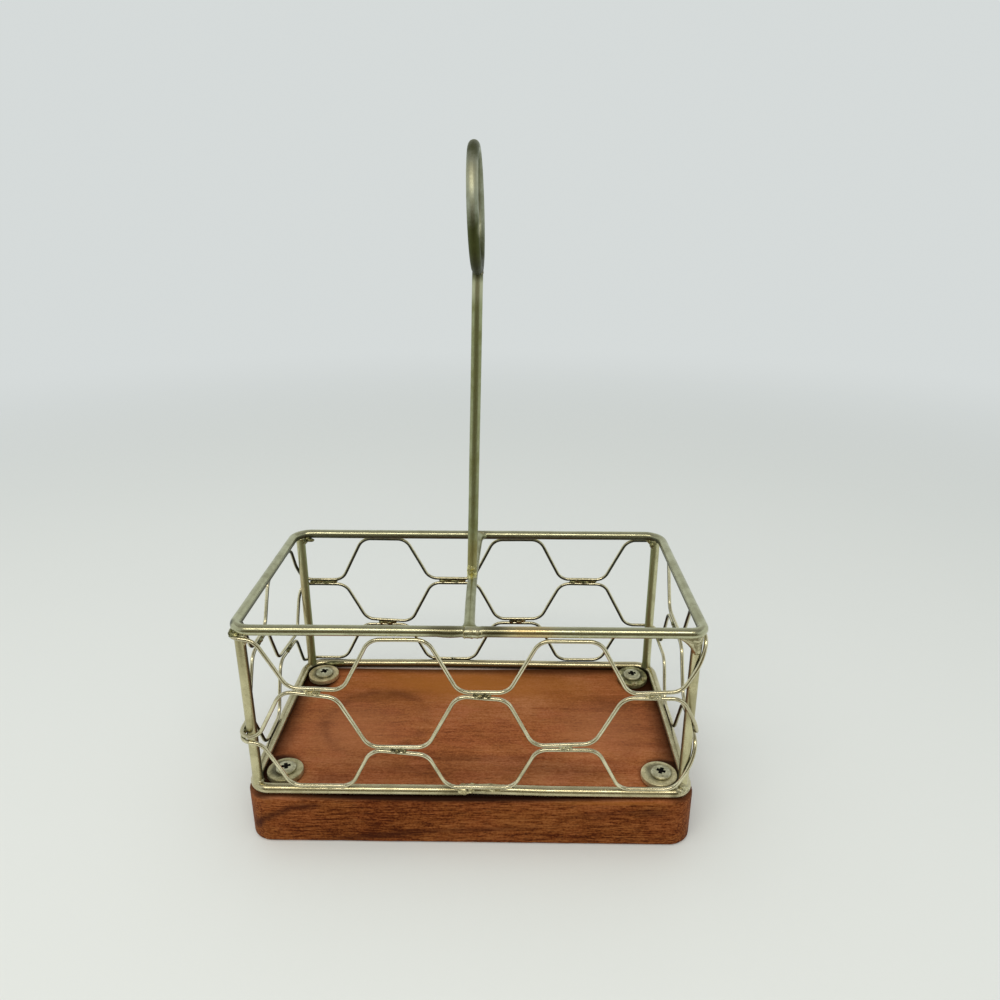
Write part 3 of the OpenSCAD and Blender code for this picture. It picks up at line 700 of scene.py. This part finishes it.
def wave_path(row, start, end):
    """The unrolled wave with its bends rounded, from start to end along the way round."""
    knots = wave_knots(row)
    turn = Vector((way_round, 0, 0))
    knots = [k - turn for k in knots] + knots + [k + turn for k in knots]
    line = []
    for before, knot, after in zip(knots, knots[1:], knots[2:]):
        back, on = before - knot, after - knot
        half_bend = math.tan((math.pi - back.angle(on)) / 2)
        reach = min(THIN_BEND_R * half_bend, back.length * BEND_SHARE, on.length * BEND_SHARE)
        back, on, bend_r = back.normalized(), on.normalized(), reach / half_bend
        middle = knot + (back + on).normalized() * math.hypot(reach, bend_r)
        first, last = knot + back * reach - middle, knot + on * reach - middle
        line += [middle + first.slerp(last, share) * bend_r for share in evenly(0, 1, BEND_STEPS)]
    dense = []
    for a, b in zip(line, line[1:]):
        steps = max(1, math.ceil((b - a).length / THIN_STEP))
        dense += [a.lerp(b, s / steps) for s in range(steps)]
    inside = [p for p in dense if start < p.x < end]
    for place, number in ((start, 0), (end, len(inside))):
        i = next(i for i, p in enumerate(dense) if p.x >= place)
        a, b = dense[i - 1], dense[i]
        inside.insert(number, a.lerp(b, (place - a.x) / (b.x - a.x)))
    return inside


for row, (joint, gap, seed) in THIN_JOINTS.items():
    unrolled = wave_path(row, joint * way_round + gap, (joint + 1) * way_round)
    path = [wrapped_place(p.x, p.y) for p in unrolled]
    path = hand_bent(path, amount=0.12, span=14, seed=seed)
    # The thin wires' undersides get painted shade as well
    thin_brass = antique_brass("brass_honeycomb_" + row, THIN_BRIGHT, THIN_DULL, 0.15,
                               painted_shade_colour=THIN_PAINTED_SHADE, under=0.3)
    honeycomb = drawn_wire("honeycomb_" + row, path, [outward(p.x) for p in unrolled], thin_brass,
                           THIN_R, sides=14)
    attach(honeycomb, "root")
    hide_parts("honeycomb_wire_" + row)


# Braze: small rough beads and webs of brass-coloured filler that hold the honeycomb wires to each other
# and to the rings, close the welds of the rings, fill the corners and set the handle on the cross bar.
BEAD_ROUGHNESS = 0.30
# The four lumps of a seam's bead: the shift along it as a share of its length, the rise in millimetres,
# and the half length as a share
SEAM_LUMPS = ((-0.85, 0.35, 0.42), (-0.25, -0.40, 0.58), (0.35, 0.40, 0.46), (0.90, -0.25, 0.36))
# Half height of a lump, and on the basket's sides its sink and its half thickness
SEAM_LUMP_UP, SIDE_LUMP_SINK, SIDE_LUMP_OUT = 0.85, 0.35, 0.7
# Webs from the posts' heads to the top ring: the bend of each, and how it lies and swells
WEB_BENDS = {"front_right": 5.0, "front_left": 2.2, "back_left": 2.8, "back_right": 2.4}
WEB_STEPS, WEB_INSET, WEB_DROP, WEB_Y, WEB_LEAN = 12, 1.0, 1.2, 35.9, 1.1
WEB_R, WEB_SWELL, WEB_FLATNESS, WEB_FULL_BEND = 0.45, 0.95, 0.7, 4


def rough_braze(name, bright, dull, crinkle=0.6):
    material, tone = new_finish(name)
    where = place_on_piece(tone)
    lumps = mottle(tone, where, 700.0, 4.0, 0.6)
    specks = mottle(tone, where, 2400.0, 2.0, 0.6)
    wear = between(tone, 0.6 * lumps + 0.4 * specks, 0.38, 0.60)
    return finished(material, tone, {"Base Color": mixed(tone, wear, dull, bright), "Metallic": 1.0,
                                     "Normal": bumped(tone, crinkle, 0.0002, lumps + 0.5 * specks),
                                     "Roughness": 0.28 + 0.22 * (1 - wear)})


def beads(name, lumps, finish):
    """Beads of filler: each has a middle, half sizes along, out and up in millimetres, and may have a turn
    in degrees."""
    form = bmesh.new()
    for number, lump in enumerate(lumps):
        middle, half_sizes, turn = lump if len(lump) == 3 else (*lump, 0)
        spin = Matrix.Rotation(math.radians(turn), 3, "Z")
        made = bmesh.ops.create_icosphere(form, subdivisions=3, radius=1.0)
        for vert in made["verts"]:
            spot = vert.co * 2.1 + Vector((number * 5.3, middle[0], middle[2]))
            rough = 1 + BEAD_ROUGHNESS * noise.noise(spot)
            grown = Vector([c * h * rough for c, h in zip(vert.co, half_sizes)])
            vert.co = (spin @ grown + Vector(middle)) * MM
    mesh = bpy.data.meshes.new(name)
    form.to_mesh(mesh)
    form.free()
    return set_out(name, mesh, finish)


def seam_beads(flats, upper, length, out):
    """Beads between two wires at the middles of these flats."""
    lumps = []
    for flat in flats:
        rows = ("top", "middle") if upper else ("middle", "bottom")
        starts = [SLOPES[row][flat - 1] - (1 if flat == 0 else 0) for row in rows]
        ends = [SLOPES[row][flat] for row in rows]
        distance = (sum(starts) + sum(ends)) / 4 * way_round
        seam = (UPPER_SEAM if upper else LOWER_SEAM)[flat // 2] * RING_RISE
        facing = outward(distance)
        turn = math.degrees(math.atan2(facing.y, facing.x)) + 90
        sink, thick = (SIDE_LUMP_SINK, SIDE_LUMP_OUT) if abs(facing.x) > 0.5 else (0, out)
        for shift, rise, share in SEAM_LUMPS:
            middle = wrapped_place(distance + shift * length, seam + rise) - facing * sink
            lumps.append((middle, (length * share, thick, SEAM_LUMP_UP), turn))
    return lumps


gold_braze = rough_braze("braze_gold", (0.78, 0.71, 0.42), (0.28, 0.24, 0.11))
dark_braze = rough_braze("braze_dark", (0.34, 0.30, 0.16), (0.018, 0.018, 0.010))
pale_braze = rough_braze("braze_pale", (0.70, 0.66, 0.44), (0.40, 0.37, 0.22), 0.18)
olive_braze = rough_braze("braze_olive", (0.36, 0.35, 0.17), (0.085, 0.088, 0.040))
yellow_braze = rough_braze("braze_yellow", (0.86, 0.82, 0.40), (0.34, 0.31, 0.11))
gold_seams = seam_beads((14,), True, 1.9, 0.95)
dark_seams = (seam_beads((0,), True, 2.2, 0.88) + seam_beads((15,), False, 2.0, 0.85)
              + seam_beads((7,), False, 2.6, 0.80))
pale_seams = seam_beads((2,), True, 1.9, 0.95) + seam_beads((1,), False, 1.7, 0.80)
olive_seams = (seam_beads((4, 12), True, 2.0, 0.85) + seam_beads((6, 8, 10), True, 4.2, 0.55)
               + seam_beads((3, 5, 11, 13), False, 2.0, 0.85) + seam_beads((9,), False, 2.8, 0.75))
all_beads = [
    beads("braze_seams_gold", gold_seams, gold_braze),
    beads("braze_seams_dark", dark_seams, dark_braze),
    beads("braze_seams_pale", pale_seams, pale_braze),
    beads("braze_seams_olive", olive_seams, olive_braze),
    beads("braze_front_troughs", [
        ((-43.5, -37.2, 20.9), (3.4, 0.6, 0.5)), ((-39.6, -37.1, 20.8), (1.6, 0.6, 0.5)),
        ((54.6, -37.2, 21.0), (3.0, 0.6, 0.5))], pale_braze),
    beads("weld_ring_joints", [
        ((-1.7, -36.3, 19.4), (2.4, 1.72, 1.72)), ((0.5, -36.2, 19.6), (1.8, 1.75, 1.7)),
        ((6.0, -36.3, 19.9), (6.0, 1.55, 1.30)), ((1.2, 35.0, 75.4), (1.6, 1.5, 1.5)),
        ((-0.75, -36.35, 75.05), (0.55, 1.62, 1.62)), ((4.2, -36.3, 75.05), (0.5, 1.60, 1.60))],
        gold_braze),
    beads("braze_rod_foot", [
        ((-0.28, -0.18, 77.0), (1.58, 1.54, 2.4)), ((-0.30, -0.25, 79.0), (1.48, 1.46, 1.7)),
        ((-0.25, -0.15, 75.9), (1.62, 2.0, 1.3)), ((-0.3, -2.3, 76.4), (1.45, 2.2, 0.8)),
        ((-0.2, -4.3, 76.3), (1.0, 1.4, 0.75))], yellow_braze),
    beads("braze_loop_foot", [((2.5, 0, 172.4), (1.62, 1.9, 0.9))], dark_braze),
    beads("braze_post_heads", [
        ((66.3, -35.4, 70.6), (1.4, 1.3, 3.0)), ((65.2, -36.0, 73.6), (2.4, 1.35, 1.6)),
        ((66.4, -35.4, 72.4), (1.6, 1.5, 2.2)), ((66.3, -35.5, 21.2), (1.5, 1.3, 1.3)),
        ((66.5, -35.1, 19.2), (2.5, 1.75, 1.75), 45), ((65.2, -36.1, 19.7), (1.5, 1.5, 1.4), 20),
        ((0.8, -36.35, 75.05), (1.6, 1.70, 1.70)), ((2.8, -36.35, 75.05), (1.7, 1.70, 1.68)),
        ((-65.3, -34.7, 70.6), (0.6, 1.0, 1.3)), ((-66.0, -34.9, 20.6), (1.3, 1.3, 1.0))], pale_braze),
    beads("braze_back_washer", [
        ((60.6, 22.9, 19.5), (1.3, 0.8, 0.6), 20), ((64.2, 25.7, 19.6), (0.8, 1.0, 0.7))], gold_braze),
    beads("braze_back_corners", [
        ((-65.4, 34.0, 73.2), (1.1, 1.2, 1.0)), ((-63.2, 34.6, 73.4), (1.6, 1.0, 0.7)),
        ((65.6, 34.0, 72.6), (1.1, 1.2, 1.4)), ((-58.0, 35.0, 19.6), (4.5, 1.2, 0.9)),
        ((-68.7, -34.8, 73.8), (0.9, 1.7, 0.8)), ((-67.6, -36.2, 73.6), (1.5, 0.9, 0.8))], olive_braze),
]
for corner, bend in WEB_BENDS.items():
    side_x, side_y = CORNERS[corner]
    web_path, web_radii = [], []
    for share in evenly(0, 1, WEB_STEPS):
        turn = math.radians(90 * share)
        web_path.append(Vector((side_x * (POST_X - WEB_INSET - bend * (1 - math.sin(turn))),
                                side_y * (WEB_Y - WEB_LEAN * share),
                                TOP_Z - WEB_DROP - bend * (1 - math.cos(turn)))))
        fullness = math.sin(math.pi * share) ** WEB_FLATNESS
        web_radii.append(WEB_R + WEB_SWELL * fullness * min(1.0, bend / WEB_FULL_BEND))
    filler = pale_braze if side_y < 0 else olive_braze
    web = drawn_wire("braze_web_" + corner, web_path, (0, 1, 0), filler, web_radii, sides=16)
    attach(web, "root")
for bead in all_beads:
    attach(bead, "root")


# Washers: four thick round discs of dull plated steel, brazed inside the bottom ring's corners and held a
# little off the wood; each has a screw through it.
WASHER_X, WASHER_Y, WASHER_LOW, WASHER_HIGH = 60.5, 27.9, 17.9, 19.8
WASHER_R, WASHER_RIM, WASHER_HOLE_R, WASHER_HOLE_RIM = 5.75, 0.4, 2.4, 0.2
# The faces are dished a little towards the hole: a ring inside the rim, how deep there and at the hole
WASHER_DISH_R, WASHER_DISH, WASHER_HOLE_DISH = 4.6, 0.03, 0.05
# How far each washer sits off its place along and across, and its tilt in degrees about both
WASHER_SHIFTS = {"front_left": (0.5, -0.2), "front_right": (0, -0.3),
                 "back_left": (0, 0), "back_right": (-0.3, 0)}
WASHER_TILTS = {"front_left": (-1.5, 1.0), "front_right": (1.0, -1.6),
                "back_left": (0.6, 0.8), "back_right": (5.0, -0.6)}
# A darker ring round the screw: how far it is full and how far it reaches, in metres
WASHER_DARKENING, WASHER_DARKENING_ROUND = (0.06, 0.056, 0.030), (0.0042, 0.0060)


def dull_plate(name, bright, dull, rough, darkening=0.0):
    """Dull plated steel, darker round the screw where it is a washer."""
    material, tone = new_finish(name)
    where = place_on_piece(tone)
    patches = mottle(tone, where, 420.0, 4.0, 0.6)
    specks = mottle(tone, where, 2600.0, 2.0, 0.6)
    wear = between(tone, 0.6 * patches + 0.4 * specks, 0.38, 0.62)
    colour = mixed(tone, wear, dull, bright)
    if darkening:
        mirrored = tone.vector_maths("ABSOLUTE", where)
        far = distance_from(tone, mirrored, (WASHER_X, WASHER_Y, WASHER_HIGH)) + 0.002 * patches
        colour = mixed(tone, darkening * (1 - between(tone, far, *WASHER_DARKENING_ROUND)), colour, WASHER_DARKENING)
    return finished(material, tone, {"Base Color": colour, "Metallic": 0.72,
                                     "Normal": bumped(tone, 0.35, 0.0001, specks + 0.5 * patches),
                                     "Roughness": rough + 0.14 * (1 - wear)})


def circle(reach, height, steps):
    turns = [2 * math.pi * k / steps for k in range(steps)]
    return [(reach * math.cos(turn), reach * math.sin(turn), height) for turn in turns]


def turned(name, profile, finish, steps=56):
    """A piece turned round its upright middle, from a profile of (reach, height) in millimetres. It is
    closed like a ring, or at two points on the middle where the profile starts and ends there."""
    solid = profile[0][0] == 0
    loops = profile[1:-1] if solid else profile
    places = [p for reach, height in loops for p in circle(reach, height, steps)]
    faces = skin(len(loops), steps, closed=not solid)
    if solid:
        low, high, top = len(places), len(places) + 1, len(places) - steps
        places += [(0, 0, profile[0][1]), (0, 0, profile[-1][1])]
        faces += [(low, (k + 1) % steps, k) for k in range(steps)]
        faces += [(high, top + k, top + (k + 1) % steps) for k in range(steps)]
    return shaped(name, places, faces, finish)


def rim(reach, height, bend, start, steps=5):
    """A rounded rim of a profile, a quarter turn from start degrees."""
    turns = [math.radians(turn) for turn in evenly(start, start + 90, steps)]
    return [(reach + bend * math.cos(turn), height + bend * math.sin(turn)) for turn in turns]


def stood(piece, corner, height):
    """Sets a washer or a screw, made round the middle, in its corner."""
    (side_x, side_y), (shift_x, shift_y) = CORNERS[corner], WASHER_SHIFTS[corner]
    tilt_x, tilt_y = [math.radians(tilt) for tilt in WASHER_TILTS[corner]]
    middle = Vector((side_x * WASHER_X + shift_x, side_y * WASHER_Y + shift_y, height)) * MM
    piece.data.transform(Matrix.Translation(middle) @ Matrix.Rotation(tilt_x, 4, "X")
                         @ Matrix.Rotation(tilt_y, 4, "Y"))


# The front left plate is darker than the others as painted shade
washer_finishes = {
    "front_left": dull_plate("washer_plate", (0.57, 0.52, 0.305), (0.33, 0.30, 0.155), 0.38, 0.75),
    "front_right": dull_plate("washer_plate_pale", (0.80, 0.725, 0.445), (0.52, 0.465, 0.265), 0.38, 0.7),
    "back_left": dull_plate("washer_plate_warm", (0.74, 0.635, 0.375), (0.44, 0.37, 0.19), 0.38, 0.75),
    "back_right": dull_plate("washer_plate_rough", (0.54, 0.51, 0.25), (0.13, 0.122, 0.05), 0.38, 0.75),
}
half_t = (WASHER_HIGH - WASHER_LOW) / 2
rim_r, rim_z = WASHER_R - WASHER_RIM, half_t - WASHER_RIM
hole_r, hole_z = WASHER_HOLE_R + WASHER_HOLE_RIM, half_t - WASHER_HOLE_DISH - WASHER_HOLE_RIM
washer_profile = [*rim(rim_r, -rim_z, WASHER_RIM, -90), *rim(rim_r, rim_z, WASHER_RIM, 0),
                  (WASHER_DISH_R, half_t - WASHER_DISH), *rim(hole_r, hole_z, WASHER_HOLE_RIM, 90),
                  *rim(hole_r, -hole_z, WASHER_HOLE_RIM, 180), (WASHER_DISH_R, -half_t + WASHER_DISH)]
for corner in CORNERS:
    washer = turned("washer_plate_" + corner, washer_profile, washer_finishes[corner])
    stood(washer, corner, (WASHER_LOW + WASHER_HIGH) / 2)
    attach(washer, "root")
    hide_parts("washer_" + corner)


# Screws: four pan-head wood screws with a cross recess punched in the head, driven through the washers
# into the wood.
HEAD_R, HEAD_H, SHANK_R, SHANK_LEN, TIP_LEN = 3.2, 1.2, 1.75, 15.0, 3.0
# The blunted point and the foot of the neck, and the head's edge, as distances in and up
POINT_R, POINT_RISE, NECK_FOOT = 0.5, 0.6, -0.3
HEAD_EDGE = ((0.2, 0.0), (0.02, 0.15), (0.0, 0.35), (0.03, 0.65))
# The dome of the head, as shares of its radius and height
HEAD_DOME = ((0.95, 0.62), (0.88, 0.78), (0.78, 0.90), (0.64, 0.965), (0.45, 0.99), (0.22, 1.0), (0, 1.0))
# One slot of the cross: half its length, its width and depth, the shares of the first two left at its
# foot, and how much shallower the second slot is
RECESS_HALF, RECESS_W, RECESS_DEPTH, RECESS_TAPER, RECESS_STEP = 1.90, 1.35, 1.2, (0.5, 0.7), 0.01
RECESS_CORNERS = ((-1, -1), (1, -1), (1, 1), (-1, 1))
RECESS_FACES = [(0, 1, 2, 3), (7, 6, 5, 4), (0, 4, 5, 1), (1, 5, 6, 2), (2, 6, 7, 3), (3, 7, 4, 0)]
SHARP_EDGE = math.radians(35)
SCREW_TURNS = {"front_left": 20, "front_right": 64, "back_left": 38, "back_right": 5}
SCREW_SHIFTS = {"front_left": (0.3, 0), "front_right": (0.55, -0.25),
                "back_left": (0.4, -0.5), "back_right": (-0.1, 0)}
screw_plate = dull_plate("screw_plate", (0.66, 0.64, 0.44), (0.36, 0.34, 0.21), 0.30)
recess_grime = dull_plate("recess_grime", (0.020, 0.018, 0.014), (0.008, 0.008, 0.006), 0.60)
screw_profile = [(0, -SHANK_LEN), (POINT_R, -SHANK_LEN + POINT_RISE), (SHANK_R, -SHANK_LEN + TIP_LEN),
                 (SHANK_R, NECK_FOOT), (SHANK_R, 0.0), *[(HEAD_R - inward, up) for inward, up in HEAD_EDGE],
                 *[(HEAD_R * across, HEAD_H * up) for across, up in HEAD_DOME]]


def punched(screw, turn, depth):
    """Punches one slot of the cross into a screw's head."""
    spin = Matrix.Rotation(math.radians(turn), 3, "Z")
    half, wide = RECESS_HALF, RECESS_W / 2
    foot_half, foot_wide = half * RECESS_TAPER[0], wide * RECESS_TAPER[1]
    recess = [spin @ Vector((x * half, y * wide, HEAD_H + 1)) for x, y in RECESS_CORNERS]
    recess += [spin @ Vector((x * foot_half, y * foot_wide, HEAD_H - depth)) for x, y in RECESS_CORNERS]
    cutter = shaped("recess_cutter", recess, RECESS_FACES, recess_grime)
    cut = screw.modifiers.new("recess", "BOOLEAN")
    cut.operation, cut.solver, cut.object, cut.material_mode = "DIFFERENCE", "EXACT", cutter, "TRANSFER"
    bpy.context.view_layer.update()
    seen = screw.evaluated_get(bpy.context.evaluated_depsgraph_get())
    settled = bpy.data.meshes.new_from_object(seen)
    screw.modifiers.clear()
    screw.data = settled
    bpy.data.objects.remove(cutter)


for corner in CORNERS:
    screw = turned("screw_head_" + corner, screw_profile, screw_plate)
    punched(screw, 0, RECESS_DEPTH)
    punched(screw, 90, RECESS_DEPTH - RECESS_STEP)
    screw.data.set_sharp_from_angle(angle=SHARP_EDGE)
    screw.data.transform(Matrix.Rotation(math.radians(SCREW_TURNS[corner]), 4, "Z"))
    screw.data.transform(Matrix.Translation(Vector((*SCREW_SHIFTS[corner], 0)) * MM))
    stood(screw, corner, WASHER_HIGH)
    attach(screw, "root")
    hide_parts("screw_" + corner)


# Studio: a plain pale floor that fades into a pale surround, a broad soft lamp above, a long narrow lamp
# in front, dull cards that only the metal sees, and the camera.
SURROUND, FLOOR = (0.670, 0.705, 0.700), (0.770, 0.785, 0.768)
# How much less of the surround lights dull surfaces, and where the floor starts and ends to fade, in metres
SURROUND_HELD_BACK, FLOOR_FADE = 0.15, (0.30, 1.00)
FLOOR_R, FLOOR_SIDES = 1100, 64
CARDS = {
    "card_front": ([(-600, -560, -10), (600, -560, -10), (600, -560, 330), (-600, -560, 330)],
                   (0.15, 0.13, 0.08)),
    "card_front_floor": ([(-420, -160, 1), (420, -160, 1), (600, -560, 1), (-600, -560, 1)],
                         (0.14, 0.12, 0.07)),
    "card_above": ([(-900, -800, 700), (900, -800, 700), (900, 150, 700), (-900, 150, 700)],
                   (0.28, 0.28, 0.27)),
    "card_above_back": ([(-900, 150, 700), (900, 150, 700), (900, 740, 640), (-900, 740, 640)],
                        (0.45, 0.45, 0.44)),
}
CAMERA_PLACE, CAMERA_TURNS = (0.01203, -0.22874, 0.18554), (70.046, -0.0855, 0.8152)
CAMERA_SENSOR, CAMERA_LENS, CAMERA_NEAR, CAMERA_FAR = 36.0, 27.396, 0.01, 20.0

world = bpy.data.worlds.new("pale_surround")
bpy.context.scene.world = world
world.use_nodes = True
world.node_tree.nodes.clear()
air = Tone(world.node_tree)
dull_sees_it = air.node("ShaderNodeLightPath", {}, {}, out=2)
pale = air.node("ShaderNodeBackground", {}, {"Color": (*SURROUND, 1.0),
                                             "Strength": 1 - SURROUND_HELD_BACK * dull_sees_it})
air.node("ShaderNodeOutputWorld", {}, {"Surface": pale})

floor_finish, tone = new_finish("pale_floor")
where = place_on_piece(tone)
far = tone.vector_maths("LENGTH", where, out=1)
cloud = mottle(tone, where, 6.0, 2.0)
paint = tone.node("ShaderNodeBsdfDiffuse", {}, {"Color": mixed(tone, 0.10 * cloud, FLOOR, SURROUND)})
clear = tone.node("ShaderNodeBsdfTransparent", {}, {})
faded = tone.node("ShaderNodeMixShader", {}, {0: between(tone, far, *FLOOR_FADE), 1: paint, 2: clear})
tone.node("ShaderNodeOutputMaterial", {}, {"Surface": faded})
floor = shaped("floor", circle(FLOOR_R, 0, FLOOR_SIDES), [tuple(range(FLOOR_SIDES))], floor_finish)

for name, (corners, shade) in CARDS.items():
    finish, tone = new_finish(name)
    glow = tone.node("ShaderNodeEmission", {}, {"Color": (*shade, 1.0), "Strength": 1.0})
    tone.node("ShaderNodeOutputMaterial", {}, {"Surface": glow})
    card = shaped(name, corners, [(0, 1, 2, 3)], finish)
    card.visible_camera = card.visible_diffuse = card.visible_shadow = card.visible_transmission = False


def lamp(name, place, aim, size, watts, tint):
    light = bpy.data.lights.new(name, "AREA")
    light.shape, light.energy, light.color = "RECTANGLE", watts, tint
    light.size, light.size_y = size
    made = bpy.data.objects.new(name, light)
    made.location = place
    made.rotation_euler = (Vector(aim) - Vector(place)).to_track_quat("-Z", "Y").to_euler()
    bpy.context.scene.collection.objects.link(made)


lamp("soft_lamp", (-0.20, -0.18, 1.00), (0, 0, 0.05), (1.6, 1.6), 4.0, (1.0, 0.99, 0.97))
lamp("front_lamp", (-0.06, -0.46, 0.62), (0.0, -0.03, 0.08), (0.85, 0.12), 1.8, (1.0, 0.93, 0.80))

camera = bpy.data.cameras.new("camera")
camera.sensor_width, camera.lens = CAMERA_SENSOR, CAMERA_LENS
camera.clip_start, camera.clip_end = CAMERA_NEAR, CAMERA_FAR
eye = bpy.data.objects.new("camera", camera)
eye.location = CAMERA_PLACE
eye.rotation_euler = [math.radians(a) for a in CAMERA_TURNS]
bpy.context.scene.collection.objects.link(eye)
bpy.context.scene.camera = eye
bpy.context.scene.view_settings.view_transform = "Standard"
